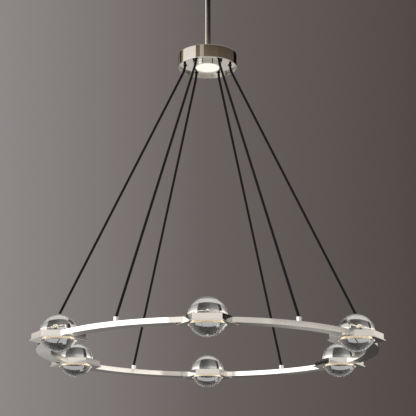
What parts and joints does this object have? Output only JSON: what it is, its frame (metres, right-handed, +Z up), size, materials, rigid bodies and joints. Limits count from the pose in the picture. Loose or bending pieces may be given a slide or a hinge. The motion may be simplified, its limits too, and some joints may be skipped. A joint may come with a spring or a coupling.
{
  "type": "orb chandelier",
  "caption": "Ring chandelier: clear crystal balls in lit hexagonal collars joined by flat curved bars, hung on straight cords from a round hub with a downlight, a stem and a canopy.",
  "frame": {"origin": "middle of the ceiling bracket's top face, where it meets the ceiling box", "axes": "+Z up into the ceiling along the stem's axis; X along the ceiling bracket's slots; one ball lies towards -Y"},
  "size_m": [1.1214, 1.22, 1.4562],
  "materials": {
    "polished_nickel": "polished",
    "zinc_steel": "zinc plated",
    "brass": "threaded",
    "cast_aluminium": "milled",
    "black_cord": "braided",
    "black_plastic": "moulded",
    "crystal": "clear polished",
    "frosted_diffuser": "frosted, lit warm white",
    "clear_silicone": "translucent",
    "led_board": "coated board",
    "white_reflector": "white",
    "driver_case": "moulded"
  },
  "bodies": {
    "ceiling_mount": {"ceiling_bracket": "zinc_steel", "mount_nipple": "brass", "bracket_nuts": "zinc_steel", "swivel_top_yoke": "zinc_steel", "canopy": "polished_nickel", "canopy_studs": "zinc_steel", "canopy_cap_nuts": "polished_nickel"},
    "swivel_cross": {"swivel_cross": "zinc_steel"},
    "pendant": {"collar_1": "polished_nickel", "collar_2": "polished_nickel", "collar_3": "polished_nickel", "collar_4": "polished_nickel", "collar_5": "polished_nickel", "collar_6": "polished_nickel", "ring_bar_1": "polished_nickel", "ring_bar_2": "polished_nickel", "ring_bar_3": "polished_nickel", "ring_bar_4": "polished_nickel", "ring_bar_5": "polished_nickel", "ring_bar_6": "polished_nickel", "hub_shell": "polished_nickel", "hub_base_plate": "polished_nickel", "stem": "polished_nickel", "swivel_ball_cover": "polished_nickel", "cord_terminal_1": "polished_nickel", "cord_terminal_2": "polished_nickel", "cord_terminal_3": "polished_nickel", "cord_terminal_4": "polished_nickel", "cord_terminal_5": "polished_nickel", "cord_terminal_6": "polished_nickel", "downlight_trim": "polished_nickel", "collar_covers": "polished_nickel", "swivel_bottom_yoke": "zinc_steel", "hub_hanger": "zinc_steel", "plate_screws": "zinc_steel", "spigot_screws": "zinc_steel", "terminal_nuts": "zinc_steel", "stem_nipples": "brass", "bar_spigots": "cast_aluminium", "cord_1": "black_cord", "cord_2": "black_cord", "cord_3": "black_cord", "cord_4": "black_cord", "cord_5": "black_cord", "cord_6": "black_cord", "cord_bushings": "black_plastic", "cord_anchors": "black_plastic", "crystal_1": "crystal", "crystal_2": "crystal", "crystal_3": "crystal", "crystal_4": "crystal", "crystal_5": "crystal", "crystal_6": "crystal", "diffuser_rings": "frosted_diffuser", "downlight_lens": "frosted_diffuser", "seat_rings": "clear_silicone", "led_rings": "led_board", "downlight_board": "led_board", "downlight_reflector": "white_reflector", "led_driver": "driver_case"}
  },
  "joints": [
    {"name": "swivel_tilt_x", "type": "hinge", "parent": "ceiling_mount", "child": "swivel_cross", "pos_m": [0, 0, -0.028], "axis": [1, 0, 0], "range_deg": [-15, 15]},
    {"name": "swivel_tilt_y", "type": "hinge", "parent": "swivel_cross", "child": "pendant", "pos_m": [0, 0, -0.028], "axis": [0, 1, 0], "range_deg": [-15, 15]}
  ]
}
